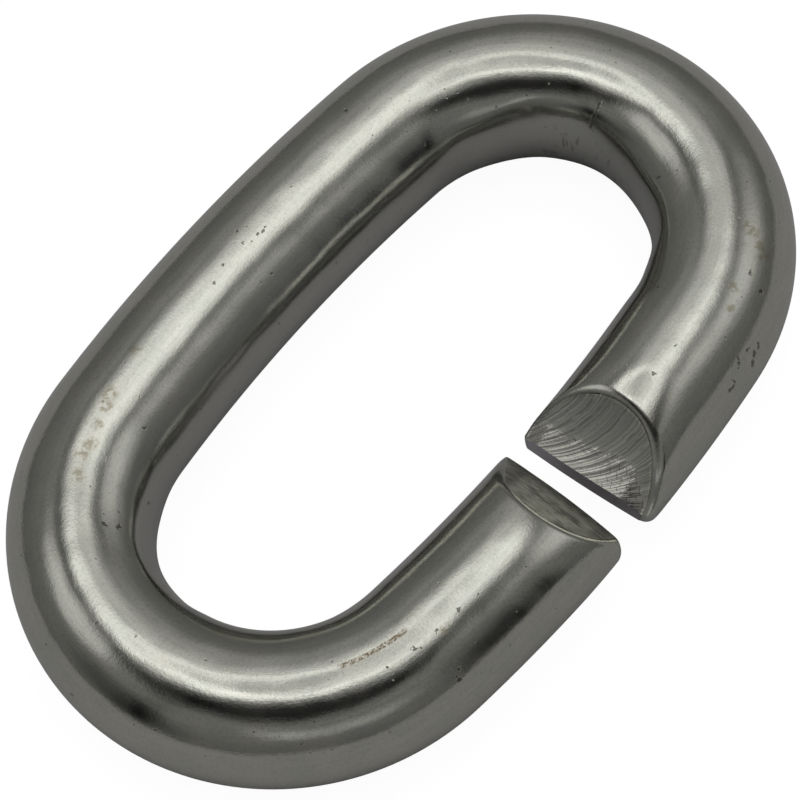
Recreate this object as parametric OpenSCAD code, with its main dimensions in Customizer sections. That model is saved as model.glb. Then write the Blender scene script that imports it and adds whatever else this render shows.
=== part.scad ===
// Open connecting link, bent from one length of round steel rod.
// The link lies flat on its side: its length runs along X, its width along Y, and the
// rod touches Z = 0 all round. The gap between the two cut ends is in the side at -Y.
// The centre line is a four-arc oval: two tight bows joined by two slightly bulging sides.

/* [Rod] */
// Diameter of the rod
rod_d = 10; // [6:0.5:14]

/* [Eye] */
// Length of the eye between the two bows, as bent
inside_length = 41; // [36:0.5:60]
// Width of the eye between the two sides, measured at the middle
inside_width = 17.7; // [14:0.1:24]
// How far each side bulges past the line that joins the bows
side_bulge = 0.7; // [0.4:0.05:1.6]
// How deep the grooved bending former pressed the inside of each bow flatter
press_depth = 0.45; // [0.15:0.05:0.6]
// Radius of the former, as a share of the bow's inside radius after it sprang open
former_share = 0.97; // [0.85:0.01:0.98]
// Radius of the former's groove, as a multiple of the rod's own radius
groove_ratio = 1.4; // [1.2:0.05:2]

/* [Cut ends] */
// Opening between the two blunt tips, at the rod's centre line
gap = 1.9; // [1:0.05:4]
// Where the middle of the gap lies along the side, from the middle of the link
gap_offset = 0.5; // [-4:0.1:4]
// Thickness of the blunt land at the tip of each end
land_t = 1.7; // [0.5:0.1:2.5]
// Length of each bevel on the end at +X, from its land to the rod's top
bevel_run = 4.8; // [3:0.1:6]
// Length of each bevel on the end at -X
other_bevel_run = 3.7; // [3:0.1:6]
// Angle by which each end leans back, so that the gap widens outwards
lean = 2; // [0:0.2:3.6]
// Radius of the hollow in each bevel, as the cutter left it
hollow_r = 30; // [12:1:60]
// Radius of each tip's two corners, seen from above
corner_r = 0.6; // [0.3:0.05:1.2]

/* [Hidden] */
rod_r = rod_d / 2;
// Half length and half width of the centre line's oval
half_l = inside_length / 2 + rod_r;
half_w = inside_width / 2 + rod_r;
// Bow: a tight arc about a centre on the X axis
bow_r = half_w - side_bulge;
bow_x = half_l - bow_r;
// Side: a wide arc that meets both bows with no kink
side_r = (bow_x * bow_x + half_w * half_w - bow_r * bow_r) / (2 * side_bulge);
side_angle = asin(bow_x / (side_r - bow_r));
// Former: a grooved disc that reaches as deep into the bow's inside as it pressed
former_r = former_share * (bow_r - rod_r);
former_x = bow_x + bow_r - rod_r + press_depth - former_r;
former_h = 0.85 * rod_d;
groove_r = groove_ratio * rod_r;

// How far the cutting shapes stand clear of the rod and run into the open gap, and how far
// the arcs run past their trim
clear = 1;
overlap = 0.2;
spare_angle = 1;

$fn = 180;

// One arc of rod, of the given centre-line radius, that starts at the origin and bends to -X
module rod_arc(radius, sweep) {
    translate([-radius, 0, 0])
        rotate_extrude(angle = sweep)
            translate([radius, 0])
                circle(r = rod_r);
}

// Half of a bow and half of a side, from the point where they meet, in the quarter at +X, +Y
module quarter() {
    intersection() {
        translate([bow_x + bow_r * sin(side_angle), bow_r * cos(side_angle), 0])
            rotate([0, 0, 90 - side_angle]) {
                rod_arc(side_r, side_angle + spare_angle);
                mirror([0, 1, 0])
                    rod_arc(bow_r, 90 - side_angle + spare_angle);
            }
        translate([0, 0, -rod_d])
            cube([half_l + rod_d, half_w + rod_d, 2 * rod_d]);
    }
}

// The whole bent rod before it is parted, as a closed ring
module ring() {
    for (across = [0, 1])
        mirror([0, across, 0])
            for (along = [0, 1])
                mirror([along, 0, 0])
                    quarter();
}

// Space taken by the bending former inside the bow at +X
module former() {
    translate([former_x, 0, 0])
        rotate_extrude()
            difference() {
                translate([0, -former_h / 2])
                    square([former_r + groove_r, former_h]);
                translate([former_r + groove_r, 0])
                    circle(r = groove_r);
            }
}

// Space between the two tips, which both lean back towards -Y
module slot() {
    out = rod_r + clear;
    shift = out * tan(lean);
    linear_extrude(height = rod_d + 2 * clear, center = true)
        polygon([[gap / 2 + shift, -out], [gap / 2 - shift, out], [shift - gap / 2, out], [-shift - gap / 2, -out]]);
}

// Outline, along the rod and up, of what is cut away above the land of a tip at the origin
module bevel_profile(run) {
    rise = rod_r - land_t / 2;
    chord = norm([run, rise]);
    back = sqrt(hollow_r * hollow_r - chord * chord / 4);
    intersection() {
        translate([(run - 2 * rise * back / chord) / 2, (land_t + rise + 2 * run * back / chord) / 2])
            circle(r = hollow_r);
        translate([-overlap, land_t / 2])
            square([overlap + run + clear, rise + clear]);
    }
}

// Outline, seen from above, of what is rounded off the corner at +Y of a tip at the origin
module corner_profile() {
    difference() {
        translate([-overlap, rod_r - corner_r])
            square([overlap + corner_r, corner_r + clear]);
        translate([corner_r, rod_r - corner_r])
            circle(r = corner_r);
    }
}

// What is cut off an end whose tip is at the origin and whose rod lies at +X
module end_cut(run) {
    tall = rod_d + 2 * clear;
    for (under = [0, 1])
        mirror([0, 0, under])
            rotate([90, 0, 0])
                linear_extrude(height = tall, center = true)
                    bevel_profile(run);
    for (across = [0, 1])
        mirror([0, across, 0])
            linear_extrude(height = tall, center = true)
                corner_profile();
}

// The link: one rod, bent, pressed inside its bows and cut to a double bevel at both ends
module link() {
    color("silver")
        translate([0, 0, rod_r])
            difference() {
                ring();
                for (along = [0, 1])
                    mirror([along, 0, 0])
                        former();
                translate([gap_offset, -half_w, 0]) {
                    slot();
                    for (far = [0, 1])
                        mirror([far, 0, 0])
                            translate([gap / 2, 0, 0])
                                rotate([0, 0, lean])
                                    end_cut(far == 0 ? bevel_run : other_bevel_run);
                }
            }
}

link();
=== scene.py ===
import math

import bmesh
import bpy
from mathutils import Euler, Matrix, Vector


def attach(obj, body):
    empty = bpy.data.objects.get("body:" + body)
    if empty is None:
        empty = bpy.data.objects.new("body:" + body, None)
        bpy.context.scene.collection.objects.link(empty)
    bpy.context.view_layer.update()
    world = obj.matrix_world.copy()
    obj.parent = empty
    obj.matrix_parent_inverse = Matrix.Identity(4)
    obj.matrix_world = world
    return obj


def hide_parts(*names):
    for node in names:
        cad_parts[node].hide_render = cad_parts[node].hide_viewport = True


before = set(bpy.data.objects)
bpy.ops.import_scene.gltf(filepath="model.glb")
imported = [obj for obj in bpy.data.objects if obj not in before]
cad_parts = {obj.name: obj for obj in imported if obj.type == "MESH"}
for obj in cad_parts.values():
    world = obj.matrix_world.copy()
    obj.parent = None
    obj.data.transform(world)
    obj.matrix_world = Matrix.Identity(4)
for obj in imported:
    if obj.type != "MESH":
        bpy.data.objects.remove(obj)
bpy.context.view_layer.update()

MM = 0.001

# Sizes, in millimetres
ROD_R = 5.0
INSIDE_LENGTH = 41.0
INSIDE_WIDTH = 17.7
SIDE_BULGE = 0.7
HALF_LENGTH = INSIDE_LENGTH / 2 + ROD_R
HALF_WIDTH = INSIDE_WIDTH / 2 + ROD_R
# Each bow is an arc about a centre on the X axis, and each side a wide arc that meets both
BOW_R = HALF_WIDTH - SIDE_BULGE
BOW_X = HALF_LENGTH - BOW_R
SIDE_R = (BOW_X ** 2 + HALF_WIDTH ** 2 - BOW_R ** 2) / (2 * SIDE_BULGE)
SIDE_Y = SIDE_R - HALF_WIDTH  # how far a side's centre lies from the X axis, on the other side of it
SIDE_ANGLE = math.degrees(math.asin(BOW_X / (SIDE_R - BOW_R)))  # from mid-side to where a bow starts

# Angles round the rod run from 0 on its outer side over its top to 180 on its inner side, and
# distances across it run outwards from its centre line.
# Each tip: x is where its land stands along the side, and the land bows back outwards of bow_from.
# The run, hollow and skew shape its bevels, and thins is how much the top of its land thins at the
# outer and at the inner corner. The rim is the radius of its rounded rim by the angle. The dip is
# what the cutting pressed into the rod's upper side: its depth and length, the angle where it is
# deepest and the angle over which it fades.
LAND = 1.7
SQUARE_TIP = dict(
    x=1.36, bow=0.0049, bow_from=-3.5, run=4.8, hollow=28.0, skew=2.0, thins=(0.6, 0.35),
    rim=[(0, 0.6), (20, 1.0), (45, 1.3), (75, 1.1), (110, 1.1), (150, 0.5), (165, 0.2), (180, 0.2)],
    dip=(0.32, 2.8, 80, 62))
LEANING_TIP = dict(
    x=-0.43, bow=0.0085, bow_from=-2.0, run=3.65, hollow=60.0, skew=1.5, thins=(0.0, 0.1),
    rim=[(0, 0.6), (25, 0.7), (60, 0.8), (110, 0.8), (145, 0.9), (160, 0.7), (170, 0.2), (180, 0.2)],
    dip=(0.29, 3.0, 82, 88))
THIN_OUTER = (2.7, 4.4)  # distances outwards from mid-rod between which a land thins
THIN_INNER = (3.6, 5.0)  # the same inwards
THIN_TOP = 2.8  # height above mid-rod from which a bevel no longer follows its land's thinning
SHOULDER = 14.0  # degrees that a rim turns through in its wide first part, behind the tight one
SHOULDER_GROWTH = 1.5

# How the mesh is laid out
AROUND = 124  # points round the rod
LAND_ROW = 4  # the row, counted from mid height, that runs along the edges of a land
END_ZONE = 9.0  # length of rod behind each tip that is drawn out to meet the cuts
SLACK = 0.1  # how far in front of a row's place its points are still looked for
RIM_STEPS = 10
RIM_CROWDING = 1.3  # how much a rim's points crowd towards the rod's side
CUT_POINTS = 47  # points along each row of a cut face
STEP_BACK = 0.05  # how far apart two places are when a slope is taken between them
CREASE_ANGLE = 28.0  # edges that turn more sharply than this are shaded as sharp

# How deep the former pressed the inside of each bow, by the angle about the bow's centre
GROOVE_R = 7.0
PRESS_FADE = 1.2  # how far inside the centre line the pressing is at its full strength
PRESS_SOFTNESS = 0.05  # how soft the edge of the pressed flat is
PLUS_X_PRESS = [(-100, 0), (-70, 0.2), (-50, 0.45), (-25, 0.3), (15, 0.6), (30, 0.6), (60, 0.25), (90, 0)]
MINUS_X_PRESS = [(105, 0), (155, 0.45), (175, 0.4), (190, 0.25), (240, 0.25), (270, 0)]


def smooth_step(low, high, value):
    t = min(max((value - low) / (high - low), 0.0), 1.0)
    return t * t * (3 - 2 * t)


def read_table(table, at):
    """The value at an angle, eased between a table's values and level past its ends."""
    for (a, value_a), (b, value_b) in zip(table, table[1:]):
        if at <= b:
            return value_a + (value_b - value_a) * smooth_step(a, b, at)
    return table[-1][1]


def fold_turn(turn):
    """An angle round the rod in degrees, counted alike over its top and under it."""
    return math.degrees(math.acos(math.cos(turn)))


def land_half(tip, across, up):
    """Half the thickness of a land, whose top edge comes down towards its two corners."""
    outer, inner = tip["thins"]
    if up <= 0:
        return LAND / 2
    return LAND / 2 - outer * smooth_step(*THIN_OUTER, across) - inner * smooth_step(*THIN_INNER, -across)


def follow_land(tip, across, up):
    """Moves a height measured past an even land to the same place past the real one."""
    half = land_half(tip, across, up)
    if abs(up) <= LAND / 2:
        return up * half / (LAND / 2)
    return math.copysign(half + (abs(up) - LAND / 2) * (ROD_R - half) / (ROD_R - LAND / 2), up)


def bevel_depth(tip, across, up):
    """How far a bevel lies behind the land."""
    half = land_half(tip, across, up)
    if abs(up) <= half:
        return 0.0
    tall = abs(up) + (LAND / 2 - half) * (1 - smooth_step(half, THIN_TOP, abs(up)))
    rise, run, hollow = ROD_R - LAND / 2, tip["run"], tip["hollow"]
    chord = math.hypot(run, rise)
    back = math.sqrt(hollow ** 2 - chord ** 2 / 4)
    centre_x = (run - 2 * rise * back / chord) / 2
    centre_z = (LAND + rise + 2 * run * back / chord) / 2
    bevel = centre_x + math.sqrt(hollow ** 2 - (tall - centre_z) ** 2)
    return bevel * (1 + across * math.tan(math.radians(tip["skew"])) / run)


def cut_depth(tip, across, up):
    """How far back the cut surface lies; across is outwards from mid-rod, up is above it."""
    return tip["bow"] * max(across - tip["bow_from"], 0.0) ** 2 + bevel_depth(tip, across, up)


def dip_depth(tip, turn, behind):
    """How far the rod's side has sunk at an angle round it and a distance behind its rim."""
    deepest, length, middle, spread = tip["dip"]
    off = abs(fold_turn(turn) - middle)
    return deepest * (1 - smooth_step(0, spread, off)) * max(1 - behind / length, 0.0) ** 2


def rim_line(tip, turn):
    """Points down the rounded rim at an angle round the rod, from the rod's side to the cut.

    Each is a distance from mid-rod and a depth. The line leaves the rod's side at the slope of its
    dip, turns slowly through a wide shoulder and then tightly into the slope of the cut.
    """
    rim_r = read_table(tip["rim"], fold_turn(turn))
    side = ROD_R - dip_depth(tip, turn, 0.0)
    inside = side - rim_r
    edge = cut_depth(tip, side * math.cos(turn), side * math.sin(turn))
    slope = (edge - cut_depth(tip, inside * math.cos(turn), inside * math.sin(turn))) / rim_r
    last = math.atan2(1, slope)
    first = before = math.atan((ROD_R - dip_depth(tip, turn, STEP_BACK) - side) / STEP_BACK)
    line = [(side, 0.0)]
    for step in range(1, RIM_STEPS + 1):
        angle = first + (last - first) * (step / RIM_STEPS) ** RIM_CROWDING
        middle = (angle + before) / 2
        bend = rim_r * (1 + SHOULDER_GROWTH * max(1 - math.degrees(middle) / SHOULDER, 0.0) ** 2)
        out, depth = line[-1]
        line.append((out - bend * math.sin(middle) * (angle - before),
                     depth - bend * math.cos(middle) * (angle - before)))
        before = angle
    shift = edge + slope * (line[-1][0] - side) - line[-1][1]
    return [(out, depth + shift) for out, depth in line]


def map_cut(tip, across, up):
    """Where a point of the cut is, in mm: outwards, up the bevel from the land, and inside the rim."""
    half = land_half(tip, across, up)
    climb = math.hypot(bevel_depth(tip, across, up), abs(up) - half)
    edge = rim_line(tip, math.atan2(up, across))[-1][0]
    return Vector((across, climb if abs(up) > half else -climb, edge - math.hypot(across, up)))


def map_rod(point):
    """Where a point of the rod is, in mm: outwards from its centre line, up, and along it."""
    x, y = abs(point.x), abs(point.y)
    side_angle = math.radians(SIDE_ANGLE)
    quarter = SIDE_R * side_angle + BOW_R * (math.pi / 2 - side_angle)
    past = math.atan2(x, y + SIDE_Y)
    if past < side_angle:
        across, along = math.hypot(x, y + SIDE_Y) - SIDE_R, SIDE_R * past
    else:
        across = math.hypot(x - BOW_X, y) - BOW_R
        along = quarter - BOW_R * math.atan2(y, x - BOW_X)
    if (point.x < 0) == (point.y < 0):
        along = -along
    quarters = 2 if point.y > 0 else 4 if point.x < 0 else 0
    return Vector((across, point.z, along + quarters * quarter))


def place_on_side(x, across, up):
    """The point of the open side at a place along it, as far outside the rod's centre line as asked."""
    r = SIDE_R + across
    return Vector((x, SIDE_Y - math.sqrt(r * r - x * x), up))


def place_round(x, out, turn):
    """The point of the open side at a distance from the rod's centre line and an angle round it."""
    return place_on_side(x, out * math.cos(turn), out * math.sin(turn))


def read_across(point):
    """How far outside the open side's centre line a point lies."""
    return math.hypot(point.x, SIDE_Y - point.y) - SIDE_R


def row_at(turn):
    """The number of the row that runs along the rod at an angle round it."""
    return round(turn * AROUND / math.tau) % AROUND


def is_land_row(turn):
    """Whether the row at an angle round the rod runs along an edge of the land."""
    row = row_at(turn) % (AROUND // 2)
    return min(row, AROUND // 2 - row) == LAND_ROW


def edges_of(made):
    return [g for g in made if isinstance(g, bmesh.types.BMEdge)]


def verts_of(edges):
    return list({v for e in edges for v in e.verts})


def finish_end(bm, rim, tip, direction):
    """Draws an open end out to its cut surface, rounds its rim and closes it with straight rows.

    The rows are laid out for an even land first, and then slide to where the real land's edges are.
    Each point's step says where it belongs: -1 on the rod's side, 1 to RIM_STEPS down the rim, and
    one more on the cut face.
    """
    base = tip["x"] + direction * END_ZONE
    start = sum(v.co.x for v in verts_of(rim)) / AROUND
    step_of, turn_of = bm.verts.layers.int["rim_step"], bm.verts.layers.float["turn"]
    map_of = bm.verts.layers.float_vector["cut_map"]
    for v in bm.verts:
        if v.co.y < 0 and 0 <= (base - v.co.x) * direction <= END_ZONE + SLACK:
            v[step_of], v[turn_of] = -1, math.atan2(v.co.z, read_across(v.co))
    ring = rim
    for step in range(1, RIM_STEPS + 1):
        ring = edges_of(bmesh.ops.extrude_edge_only(bm, edges=ring)["geom"])
        for v in verts_of(ring):
            v[step_of], v[turn_of] = step, math.atan2(v.co.z, read_across(v.co))
    slides = {}
    for v in verts_of(ring):
        turn = v[turn_of]
        out = rim_line(tip, turn)[-1][0]
        across, up = out * math.cos(turn), out * math.sin(turn)
        if is_land_row(turn):
            up = math.copysign(LAND / 2, up)
        v.co = place_on_side(tip["x"], across, up)
        slides[row_at(turn)] = math.atan2(follow_land(tip, across, up), across) - turn
    close_end(bm, ring, tip, direction)
    for v in bm.verts:
        step, turn = v[step_of], v[turn_of]
        v[step_of] = 0
        if 1 <= step <= RIM_STEPS:
            turn += slides[row_at(turn)]
            out, depth = rim_line(tip, turn)[step]
            v.co = place_round(tip["x"] + direction * depth, out, turn)
            v[map_of] = map_cut(tip, out * math.cos(turn), out * math.sin(turn))
        elif step == -1:
            share = (base - v.co.x) * direction / abs(base - start)
            turn += slides[row_at(turn)] * share
            length = END_ZONE - rim_line(tip, turn)[0][1]
            out = ROD_R - dip_depth(tip, turn, (1 - share) * length)
            v.co = place_round(base - direction * share * length, out, turn)


def close_end(bm, ring, tip, direction):
    """Fills an end with straight rows across it and moves them back to the cut surface."""
    step_of, map_of = bm.verts.layers.int["rim_step"], bm.verts.layers.float_vector["cut_map"]
    bmesh.ops.holes_fill(bm, edges=ring, sides=0)
    upwards = sorted(verts_of(ring), key=lambda v: math.atan2(v.co.z, abs(read_across(v.co))))
    rows = []
    for one, other in zip(upwards[1:-1:2], upwards[2:-1:2]):
        rows += bmesh.ops.connect_verts(bm, verts=[one, other])["edges"]
    cut = bmesh.ops.subdivide_edges(bm, edges=rows, cuts=CUT_POINTS, use_grid_fill=True)
    for v in {g for g in cut["geom_inner"] if isinstance(g, bmesh.types.BMVert)}:
        across = read_across(v.co)
        up = follow_land(tip, across, v.co.z)
        v.co = place_on_side(tip["x"] + direction * cut_depth(tip, across, up), across, up)
        v[step_of], v[map_of] = RIM_STEPS + 1, map_cut(tip, across, up)
    for face in bm.faces:
        if all(v[step_of] >= RIM_STEPS for v in face.verts):
            face.material_index = 1


def press_bow(v):
    """Presses the inside of a bow as far as the former's groove reached."""
    side = 1 if v.co.x > 0 else -1
    out = Vector((v.co.x - side * BOW_X, v.co.y))
    angle = math.degrees(math.atan2(out.y, out.x))
    if side < 0:
        angle %= 360
    depth = read_table(PLUS_X_PRESS if side > 0 else MINUS_X_PRESS, angle)
    across = out.length - BOW_R
    if depth <= 0 or across > 0:
        return
    groove = GROOVE_R - math.sqrt(GROOVE_R ** 2 - v.co.z ** 2) - (ROD_R - depth)
    pressed = (across + groove + math.hypot(across - groove, PRESS_SOFTNESS)) / 2
    pressed = across + (pressed - across) * smooth_step(0.0, PRESS_FADE, -across)
    out *= (BOW_R + pressed) / out.length
    v.co.x, v.co.y = side * BOW_X + out.x, out.y


def bend_rod(bm):
    """Sweeps a circle from the square tip round the link to the leaning tip; gives both open ends."""
    start = math.degrees(math.asin(SQUARE_TIP["x"] / SIDE_R))
    end = math.degrees(math.asin(-LEANING_TIP["x"] / SIDE_R))
    disc = bmesh.ops.create_circle(bm, cap_ends=False, segments=AROUND, radius=ROD_R)["verts"]
    bmesh.ops.rotate(bm, verts=disc, matrix=Matrix.Rotation(math.radians(90), 3, "Y"))
    bmesh.ops.rotate(bm, verts=disc, matrix=Matrix.Rotation(math.radians(start), 3, "Z"))
    bmesh.ops.translate(bm, verts=disc, vec=place_on_side(SQUARE_TIP["x"], 0, 0))
    first = ring = list(bm.edges)
    bow_angle = 180 - 2 * SIDE_ANGLE
    for centre, angle, steps in (((0, SIDE_Y, 0), SIDE_ANGLE - start, 32),
                                 ((BOW_X, 0, 0), bow_angle, 96),
                                 ((0, -SIDE_Y, 0), 2 * SIDE_ANGLE, 64),
                                 ((-BOW_X, 0, 0), bow_angle, 96),
                                 ((0, SIDE_Y, 0), SIDE_ANGLE - end, 34)):
        spun = bmesh.ops.spin(bm, geom=ring, cent=centre, axis=(0, 0, 1), angle=math.radians(angle),
                              steps=steps, use_merge=False, use_duplicate=False)
        ring = edges_of(spun["geom_last"])
    return first, ring


def make_link():
    """The whole link as one closed mesh, with maps of its rod and its cuts for the finishes."""
    bm = bmesh.new()
    bm.verts.layers.int.new("rim_step")
    bm.verts.layers.float.new("turn")
    bm.verts.layers.float_vector.new("cut_map")
    first, last = bend_rod(bm)
    finish_end(bm, first, SQUARE_TIP, 1)
    finish_end(bm, last, LEANING_TIP, -1)
    rod_map = bm.verts.layers.float_vector.new("rod_map")
    for v in bm.verts:
        v[rod_map] = map_rod(v.co)
        press_bow(v)
    bmesh.ops.translate(bm, verts=bm.verts, vec=(0, 0, ROD_R))
    bmesh.ops.scale(bm, vec=(MM, MM, MM), verts=bm.verts)
    bmesh.ops.recalc_face_normals(bm, faces=bm.faces)
    bm.verts.layers.int.remove(bm.verts.layers.int["rim_step"])
    bm.verts.layers.float.remove(bm.verts.layers.float["turn"])
    mesh = bpy.data.meshes.new("bent_link")
    bm.to_mesh(mesh)
    bm.free()
    mesh.shade_smooth()
    mesh.set_sharp_from_angle(angle=math.radians(CREASE_ANGLE))
    link = bpy.data.objects.new("bent_link", mesh)
    bpy.context.scene.collection.objects.link(link)
    return link


def add_node(tree, kind, inputs, output=0, **settings):
    """Adds a shader node, fills or wires its inputs by name or number, and gives one output back."""
    node = tree.nodes.new("ShaderNode" + kind)
    for name, value in settings.items():
        setattr(node, name, value)
    for name, value in inputs.items():
        if isinstance(value, bpy.types.NodeSocket):
            tree.links.new(value, node.inputs[name])
        else:
            node.inputs[name].default_value = value
    return node.outputs[output]


def split_vector(tree, vector):
    parts = tree.nodes.new("ShaderNodeSeparateXYZ")
    tree.links.new(vector, parts.inputs[0])
    return parts.outputs


def add_math(tree, operation, *values):
    return add_node(tree, "Math", dict(enumerate(values)), operation=operation)


def add_fade(tree, value, low, high, at_low, at_high):
    inputs = {"Value": value, "From Min": low, "From Max": high, "To Min": at_low, "To Max": at_high}
    return add_node(tree, "MapRange", inputs, interpolation_type="SMOOTHSTEP")


def add_band(tree, value, middle, full, half):
    """1 near a middle value, to a share of the band's half width, and 0 past that half width."""
    off = add_math(tree, "ABSOLUTE", add_math(tree, "SUBTRACT", value, middle))
    return add_fade(tree, off, full * half, half, 1.0, 0.0)


def add_noise(tree, place, scale, detail=2.0, roughness=0.5):
    inputs = {"Vector": place, "Scale": scale, "Detail": detail, "Roughness": roughness}
    return add_node(tree, "TexNoise", inputs)


def add_row_noise(tree, count, scale, detail):
    """Noise that changes from one line of a row of lines to the next."""
    inputs = {"W": count, "Scale": scale, "Detail": detail}
    return add_node(tree, "TexNoise", inputs, noise_dimensions="1D")


def add_mix(tree, share, one, other):
    return add_node(tree, "Mix", {0: share, 6: one, 7: other}, output=2, data_type="RGBA")


def add_choice(tree, share, one, other):
    return add_node(tree, "Mix", {0: share, 2: one, 3: other}, data_type="FLOAT")


def add_marks(tree, place, marks):
    """How near a place is to the nearest of some marks, as a share of that mark's radius."""
    nearest = None
    for mark, radius in marks:
        far = add_node(tree, "VectorMath", {0: place, 1: mark}, output=1, operation="DISTANCE")
        share = add_math(tree, "DIVIDE", far, radius)
        nearest = share if nearest is None else add_math(tree, "MINIMUM", nearest, share)
    return nearest


def lift_marks(marks):
    """Places given as seen from above, lifted to the rod's upper side, each with its radius."""
    for x, y, radius in marks:
        across = map_rod(Vector((x, y, 0))).x
        yield (x, y, ROD_R + math.sqrt(ROD_R ** 2 - across ** 2)), radius


def start_material(name):
    """A metal, and its tree, its shader and the place on the piece in millimetres."""
    steel = bpy.data.materials.new(name)
    steel.use_nodes = True
    tree = steel.node_tree
    shader = tree.nodes["Principled BSDF"]
    shader.inputs["Metallic"].default_value = 1.0
    place = add_node(tree, "TexCoord", {}, output=3)
    in_mm = add_node(tree, "VectorMath", {0: place, "Scale": 1 / MM}, operation="SCALE")
    return steel, tree, shader, in_mm


def finish_material(tree, shader, colour, roughness, height):
    """Wires a finish whose height is in millimetres."""
    tree.links.new(colour, shader.inputs["Base Color"])
    tree.links.new(roughness, shader.inputs["Roughness"])
    bump = add_node(tree, "Bump", {"Height": height, "Distance": MM, "Strength": 1.0})
    tree.links.new(bump, shader.inputs["Normal"])


# Wear on the rod's upper half: where each mark is, seen from above, in millimetres, and its radius
NICKS = [(15.0, -17.5, 0.14), (15.2, -17.4, 0.13), (14.5, -17.6, 0.2), (14.1, -17.8, 0.22),
         (13.3, -17.2, 0.1), (13.1, -17.4, 0.1), (12.9, -17.5, 0.1), (12.1, -17.8, 0.14),
         (11.8, -17.9, 0.13), (11.5, -17.9, 0.13), (17.7, -15.7, 0.18), (18.1, -14.6, 0.14),
         (10.8, -14.1, 0.09), (8.3, -14.3, 0.12), (-13.7, -14.5, 0.1), (-15.4, -14.1, 0.12),
         (-15.2, -14.4, 0.08), (-17.4, -13.6, 0.11), (-11.8, -14.6, 0.09), (-14.5, -16.7, 0.13),
         (-14.8, -16.9, 0.13), (-14.9, -17.0, 0.14), (-20.3, 6.4, 0.14), (-20.8, 7.1, 0.13),
         (-14.0, 9.9, 0.12), (11.9, 14.5, 0.14), (1.4, 12.9, 0.11), (1.7, 12.9, 0.09),
         (1.0, 13.0, 0.09), (-0.1, 13.3, 0.1)]
STAINS = [(-10.4, 13.7, 0.45), (-13.8, 13.0, 0.7), (-14.6, 12.4, 0.5), (-15.9, 12.0, 0.45),
          (-17.3, 11.4, 0.6), (-18.1, 11.3, 0.5), (-19.4, 10.6, 0.6), (15.2, -15.2, 0.4),
          (16.4, -14.4, 0.5), (-13.3, -14.8, 0.4), (20.0, -14.1, 0.9), (20.7, -12.7, 0.7)]
# Where a streak of rust lies across and along the rod
RUST_STREAK = dict(across=0.1, along=114.9, half_width=0.22, half_length=2.6)
# The creased patches inside the bow at +X, and the middle of the line drawn above them
CREASED = [((20.3, 2.8, 4.6), 2.6), ((21.2, -0.9, 5.2), 2.2)]
DRAWN_LINE = [((22.1, 1.3, 8.5), 1.2)]
DRAWN_LINE_Y = 1.58


def add_wear(tree, place, across, along, speckle, coarse):
    """How strongly the rod's small holes, its stains and its streak of rust show at a place."""
    spread = add_node(tree, "TexNoise", {"Vector": place, "Scale": 2.6, "Detail": 3.0}, output=1)
    worn = add_node(tree, "VectorMath", {0: spread, 1: (0.7, 0.7, 0.7), 2: place}, operation="MULTIPLY_ADD")
    worn = add_node(tree, "VectorMath", {0: worn, 1: (-0.35, -0.35, -0.35)}, operation="ADD")
    spots = add_node(tree, "TexVoronoi", {"Vector": worn, "Scale": 0.42})
    specks = add_node(tree, "TexVoronoi", {"Vector": place, "Scale": 1.0})
    pits = add_math(tree, "MAXIMUM", add_fade(tree, spots, 0.02, 0.07, 0.8, 0.0),
                    add_fade(tree, specks, 0.03, 0.09, 0.6, 0.0))
    nicks = add_fade(tree, add_marks(tree, worn, lift_marks(NICKS)), 0.9, 1.4, 0.85, 0.0)
    holes = add_math(tree, "MAXIMUM", pits, nicks)
    stained = add_fade(tree, add_marks(tree, worn, lift_marks(STAINS)), 0.4, 1.2, 0.75, 0.0)
    stained = add_math(tree, "MULTIPLY", stained, add_fade(tree, coarse, 0.42, 0.56, 0.15, 1.0))
    rusty = add_math(tree, "MULTIPLY",
                     add_band(tree, across, RUST_STREAK["across"], 0.4, RUST_STREAK["half_width"]),
                     add_band(tree, along, RUST_STREAK["along"], 0.8, RUST_STREAK["half_length"]))
    rusty = add_math(tree, "MULTIPLY", rusty, add_fade(tree, speckle, 0.42, 0.56, 0.2, 0.95))
    return holes, stained, rusty


def add_creases(tree, place, coarse):
    """Creases that the pressing left inside the bow at +X, and a thin line drawn above them; the mask also
    paints shade.
    """
    x, y, z = split_vector(tree, place)
    turn = add_math(tree, "ARCTAN2", y, add_math(tree, "SUBTRACT", x, BOW_X))
    stretched = add_node(tree, "CombineXYZ", {0: add_math(tree, "MULTIPLY", turn, 20.0),
                                              1: add_math(tree, "MULTIPLY", z, 0.45)})
    creases_and_shade = add_fade(tree, add_noise(tree, stretched, 1.0), 0.55, 0.68, 0.0, 1.0)
    near_creases = add_fade(tree, add_marks(tree, place, CREASED), 0.6, 1.1, 1.0, 0.0)
    creases_and_shade = add_math(tree, "MULTIPLY", creases_and_shade, near_creases)
    off = add_math(tree, "SUBTRACT", add_math(tree, "MULTIPLY_ADD", coarse, 0.5, y), DRAWN_LINE_Y)
    line = add_fade(tree, add_math(tree, "ABSOLUTE", off), 0.03, 0.16, 1.0, 0.0)
    near_line = add_fade(tree, add_marks(tree, place, DRAWN_LINE), 0.7, 1.0, 1.0, 0.0)
    return add_math(tree, "MAXIMUM", creases_and_shade, add_math(tree, "MULTIPLY", line, near_line))


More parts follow.
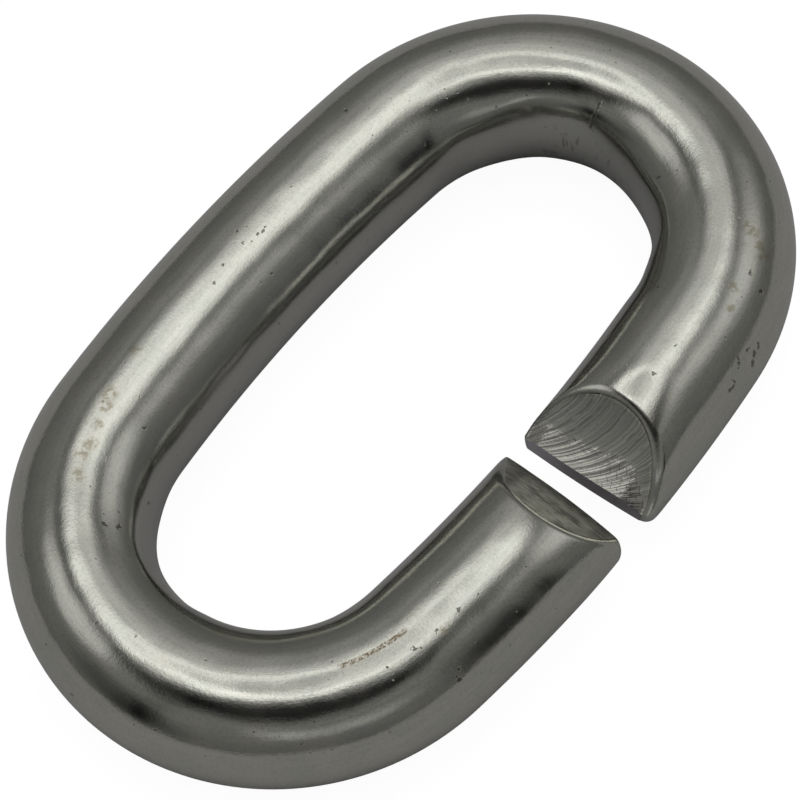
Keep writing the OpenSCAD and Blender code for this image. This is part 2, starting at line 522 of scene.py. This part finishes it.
def make_rod_steel():
    """Drawn rod, tumbled nearly bright: speckle and fine grain over slow waves, its wear and painted shade.
    """
    steel, tree, shader, place = start_material("tumbled_stainless")
    mapped = add_node(tree, "Attribute", {}, output=1, attribute_name="rod_map")
    across, _, along = split_vector(tree, mapped)
    drawn = add_node(tree, "VectorMath", {0: mapped, 1: (1, 1, 0.05)}, operation="MULTIPLY")
    waves = add_noise(tree, place, 0.25, 1.0)
    flutes = add_noise(tree, drawn, 1.1, 1.0)
    lines = add_noise(tree, drawn, 5.0)
    grain = add_noise(tree, place, 9.0)
    speckle = add_noise(tree, place, 4.0, 3.0, 0.7)
    patchy = add_noise(tree, place, 0.35, 4.0, 0.6)
    coarse = add_noise(tree, place, 2.2, 3.0, 0.6)
    holes, stained, rusty = add_wear(tree, place, across, along, speckle, coarse)
    creases_and_shade = add_creases(tree, place, coarse)

    tint = add_math(tree, "ADD", add_math(tree, "ADD", grain, lines), patchy)
    tint = add_fade(tree, add_math(tree, "MULTIPLY", tint, 0.33), 0.38, 0.62, 0.0, 1.0)
    dusty = add_fade(tree, speckle, 0.50, 0.66, 0.0, 0.30)
    # painted shade: the rod's inner side, facing into the link, darkens towards the grey below
    painted_inner_shade = add_fade(tree, across, -4.7, -2.6, 0.6, 0.0)
    colour = add_mix(tree, tint, (0.560, 0.572, 0.513, 1), (0.655, 0.640, 0.568, 1))
    colour = add_mix(tree, dusty, colour, (0.40, 0.40, 0.36, 1))
    colour = add_mix(tree, painted_inner_shade, colour, (0.44, 0.44, 0.425, 1))
    colour = add_mix(tree, stained, colour, (0.38, 0.35, 0.25, 1))
    colour = add_mix(tree, rusty, colour, (0.24, 0.18, 0.11, 1))
    # painted shade: the creases and the line above them are darkened towards near black
    colour = add_mix(tree, add_math(tree, "MULTIPLY", creases_and_shade, 0.55), colour, (0.16, 0.16, 0.14, 1))
    colour = add_mix(tree, holes, colour, (0.15, 0.14, 0.11, 1))

    height = 0.0
    for layer, tall in ((waves, 0.10), (flutes, 0.009), (lines, 0.002), (speckle, 0.0055), (grain, 0.003),
                        (holes, -0.02), (creases_and_shade, -0.015)):
        height = add_math(tree, "MULTIPLY_ADD", layer, tall, height)
    rough = add_fade(tree, patchy, 0.3, 0.7, 0.10, 0.16)
    rough = add_math(tree, "MULTIPLY_ADD", stained, 0.15, rough)
    rough = add_math(tree, "MULTIPLY_ADD", rusty, 0.3, rough)
    finish_material(tree, shader, colour, rough, height)
    return steel


# The milled arcs of the square end: each swings about a centre this far up its bevel, with this
# radius, and they follow each other at this spacing
SWING_CLIMB = 6.33
SWING_R = 7.8
ARC_SPACING = 0.36


def mill_square_end(tree, place, across, climb):
    """Colour, height and roughness of arcs that swing from along the land to up the bevel, with painted
    shade in their grooves.
    """
    behind = add_math(tree, "SUBTRACT", climb, SWING_CLIMB)
    swing = add_math(tree, "SUBTRACT", SWING_R ** 2, add_math(tree, "MULTIPLY", behind, behind))
    count = add_math(tree, "SUBTRACT", across, add_math(tree, "SQRT", swing))
    count = add_math(tree, "DIVIDE", count, ARC_SPACING)
    count = add_math(tree, "MULTIPLY_ADD", add_row_noise(tree, count, 0.7, 2.0), 1.6, count)
    count = add_math(tree, "MULTIPLY_ADD", add_noise(tree, place, 0.9), 0.8, count)
    arc = add_math(tree, "FLOOR", count)
    step = add_math(tree, "FRACT", count)
    deep = add_node(tree, "TexWhiteNoise", {"W": arc}, noise_dimensions="1D")

    # the cutter pressed harder beside the land, where the arcs are coarser
    ragged = add_math(tree, "MULTIPLY_ADD", add_noise(tree, place, 2.5), 0.9, climb)
    ragged = add_math(tree, "MULTIPLY_ADD", across, -0.16, ragged)
    ragged = add_math(tree, "ADD", ragged, add_fade(tree, across, 2.2, 5.0, 0.0, 2.4))
    low_zone = add_fade(tree, ragged, 2.1, 2.8, 1.0, 0.3)
    is_low = add_fade(tree, low_zone, 0.3, 0.9, 0.0, 1.0)
    slope = add_math(tree, "MULTIPLY", add_math(tree, "MULTIPLY_ADD", deep, 0.03, 0.035), low_zone)
    height = add_math(tree, "MULTIPLY", step, slope)
    # painted shade in each arc's groove, strongest where the arc is deep
    groove = add_math(tree, "MULTIPLY", add_fade(tree, step, 0.0, 0.35, 1.0, 0.0), deep)

    # marks of a second cut near the outer corner, which break each arc at other places
    second = add_math(tree, "MULTIPLY", add_math(tree, "MULTIPLY_ADD", climb, 0.6, across), 1.3)
    second = add_math(tree, "FRACT", add_math(tree, "MULTIPLY_ADD", deep, 2.6, second))
    corner = add_math(tree, "MULTIPLY", add_fade(tree, across, 0.3, 1.5, 0.0, 1.0),
                      add_fade(tree, climb, 1.6, 2.6, 1.0, 0.0))
    height = add_math(tree, "MULTIPLY_ADD", add_math(tree, "MULTIPLY", second, corner), 0.02, height)
    # painted shade along the second cut's marks
    nick = add_math(tree, "MULTIPLY", add_fade(tree, second, 0.0, 0.13, 0.7, 0.0), corner)
    groove = add_math(tree, "MAXIMUM", groove, nick)

    fine = add_fade(tree, add_row_noise(tree, count, 2.4, 3.0), 0.36, 0.66, 0.0, 1.0)
    upper = add_mix(tree, fine, (0.58, 0.58, 0.53, 1), (0.98, 0.98, 0.90, 1))
    lower = add_mix(tree, deep, (0.62, 0.61, 0.55, 1), (0.92, 0.90, 0.80, 1))
    # the grooves and the second cut's marks are painted with shade, near black
    lower = add_mix(tree, add_math(tree, "MULTIPLY", groove, 0.9), lower, (0.12, 0.12, 0.11, 1))
    colour = add_mix(tree, is_low, upper, lower)
    rough = add_fade(tree, low_zone, 0.3, 0.9, 0.36, 0.21)
    return colour, height, rough


def grind_leaning_end(tree, place, across, climb):
    """Colour, height and roughness of dull grinding lines along an end that darkens to its land."""
    drawn = add_node(tree, "CombineXYZ", {0: add_math(tree, "MULTIPLY", across, 0.22), 1: climb})
    lines = add_noise(tree, drawn, 3.6, 5.0, 0.75)
    blotch = add_noise(tree, place, 0.7, 3.0)
    light = add_math(tree, "MULTIPLY_ADD", blotch, 0.5, add_math(tree, "MULTIPLY", lines, 0.6))
    light = add_fade(tree, light, 0.42, 0.66, 0.0, 1.0)
    light = add_math(tree, "MULTIPLY", light, add_fade(tree, climb, 0.0, 1.6, 0.35, 1.0))
    colour = add_mix(tree, light, (0.20, 0.20, 0.18, 1), (0.64, 0.63, 0.56, 1))
    return colour, add_math(tree, "MULTIPLY", lines, 0.06), 0.40


def make_ground_steel():
    """The cut faces of both ends, with their plain lands and the thin burr round their rims."""
    steel, tree, shader, place = start_material("ground_end")
    mapped = add_node(tree, "Attribute", {}, output=1, attribute_name="cut_map")
    across, climb, inside = split_vector(tree, mapped)
    gap_middle = (SQUARE_TIP["x"] + LEANING_TIP["x"]) / 2
    is_square = add_math(tree, "GREATER_THAN", split_vector(tree, place)[0], gap_middle)
    is_bevel = add_math(tree, "GREATER_THAN", climb, 0.0)
    milled, arcs, milled_rough = mill_square_end(tree, place, across, climb)
    dull, lines, dull_rough = grind_leaning_end(tree, place, across, climb)
    colour = add_mix(tree, is_bevel, (0.45, 0.43, 0.46, 1), add_mix(tree, is_square, dull, milled))
    height = add_math(tree, "MULTIPLY", add_choice(tree, is_square, lines, arcs), is_bevel)
    grit = add_noise(tree, place, 7.0)
    height = add_math(tree, "MULTIPLY_ADD", grit, 0.01, height)
    height = add_math(tree, "ADD", height, add_fade(tree, inside, 0.0, 0.16, 0.03, 0.0))
    rough = add_choice(tree, is_square, dull_rough, milled_rough)
    finish_material(tree, shader, colour, rough, height)
    return steel


# Each soft light: azimuth, elevation and twist in degrees, half width and half height as shares of
# its distance, softness and brightness. A negative brightness takes light away, as a dark stand or
# the camera's hood does in front of the others.
SOFT_LIGHTS = {
    "ring_lamp": (41, 75, -24, 0.39, 0.48, 0.31, 0.57),
    "ring_lamp_middle": (61, 81, -60, 0.23, 0.175, 0.44, -1.68),
    "ring_lamp_right": (-25, 76, 149, 0.34, 0.21, 0.51, 0.60),
    "ring_lamp_left": (76, 79.5, -2, 0.215, 0.26, 0.56, 1.64),
    "ring_edge_left": (141, 74.5, 0, 0.06, 0.09, 0.8, 0.25),
    "ring_edge_near": (243, 81, 0, 0.05, 0.07, 0.8, 0.25),
    "left_softbox": (121, 46, 3, 0.24, 0.20, 0.52, 0.46),
    "right_softbox": (-34, 43, -40, 0.37, 0.25, 0.78, 0.45),
    "near_card": (216, 29.5, -32, 0.15, 0.08, 1.0, 0.25),
    "low_card": (240, 27, 0, 0.22, 0.085, 1.0, 0.20),
    "far_glow": (41.5, 39.5, 13, 0.34, 0.17, 1.0, 0.15),
    "camera_hood": (-19, 88, 137.5, 0.71, 0.62, 0.17, -0.2),
    "dark_corner": (163, 18, -21, 0.36, 0.225, 0.49, -0.08),
    "dark_stand": (169, 24, 0, 0.07, 0.45, 1.0, -0.075),
    "dark_near_stand": (279.5, 13, 0, 0.075, 0.30, 0.9, -0.135),
}


def make_studio():
    """A dim surround that brightens upwards, with the soft lights and dark places on it."""
    world = bpy.data.worlds.new("studio")
    bpy.context.scene.world = world
    world.use_nodes = True
    tree = world.node_tree
    towards = add_node(tree, "TexCoord", {})
    total = add_math(tree, "MULTIPLY_ADD", split_vector(tree, towards)[2], 0.12, 0.116)
    for azimuth, elevation, twist, wide, tall, soft, bright in SOFT_LIGHTS.values():
        turn = Euler((math.radians(twist), math.radians(-elevation), math.radians(azimuth)), "XYZ")
        middle = turn.to_matrix() @ Vector((1, 0, 0))
        inputs = {"Vector": towards, "Location": middle, "Rotation": turn, "Scale": (1, wide, tall)}
        place = add_node(tree, "Mapping", inputs, vector_type="TEXTURE")
        off = add_node(tree, "VectorMath", {0: place}, output=1, operation="LENGTH")
        total = add_math(tree, "ADD", total, add_fade(tree, off, 1 - soft, 1 + soft, bright, 0))
    tree.links.new(total, tree.nodes["Background"].inputs["Color"])


def make_plane(name, half, z):
    """A level square that isn't part of the object."""
    bm = bmesh.new()
    bmesh.ops.create_grid(bm, x_segments=1, y_segments=1, size=half)
    bmesh.ops.translate(bm, verts=bm.verts, vec=(0, 0, z))
    mesh = bpy.data.meshes.new(name)
    bm.to_mesh(mesh)
    bm.free()
    plane = bpy.data.objects.new(name, mesh)
    bpy.context.scene.collection.objects.link(plane)
    return plane


def make_matt(name, colour, glow=0.0):
    """Paper or card with no shine, which may glow as a backlit sweep does."""
    paper = bpy.data.materials.new(name)
    paper.use_nodes = True
    shader = paper.node_tree.nodes["Principled BSDF"]
    shader.inputs["Base Color"].default_value = colour
    shader.inputs["Roughness"].default_value = 1.0
    shader.inputs["Specular IOR Level"].default_value = 0.0
    shader.inputs["Emission Color"].default_value = (1, 1, 1, 1)
    shader.inputs["Emission Strength"].default_value = glow
    return paper


FLOOR_HALF = 1.5  # half the width of the floor and the table, in metres


def make_table():
    """A pale floor that only the camera sees, and the grey table that the steel mirrors."""
    floor = make_plane("pale_floor", FLOOR_HALF, 0.0)
    floor.data.materials.append(make_matt("pale_paper", (0.2, 0.2, 0.2, 1), glow=0.95))
    floor.visible_glossy = floor.visible_diffuse = floor.visible_shadow = False
    table = make_plane("grey_table", FLOOR_HALF, -0.02 * MM)
    table.data.materials.append(make_matt("grey_card", (0.7, 0.69, 0.7, 1)))
    table.visible_camera = False


def make_camera():
    """The photograph's view, from 0.2 m away."""
    data = bpy.data.cameras.new("photo_view")
    data.sensor_width = 36
    data.lens = 138.3
    data.clip_start = 0.01
    data.clip_end = 10
    camera = bpy.data.objects.new("photo_view", data)
    camera.location = (-0.06132, -0.07364, 0.18312)
    camera.rotation_euler = [math.radians(a) for a in (27.46, 5.69, -50.22)]
    bpy.context.scene.collection.objects.link(camera)
    bpy.context.scene.camera = camera


make_camera()
make_studio()
make_table()
link = make_link()
link.data.materials.append(make_rod_steel())
link.data.materials.append(make_ground_steel())
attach(link, "root")
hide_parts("link")
bpy.context.scene.view_settings.view_transform = "Standard"
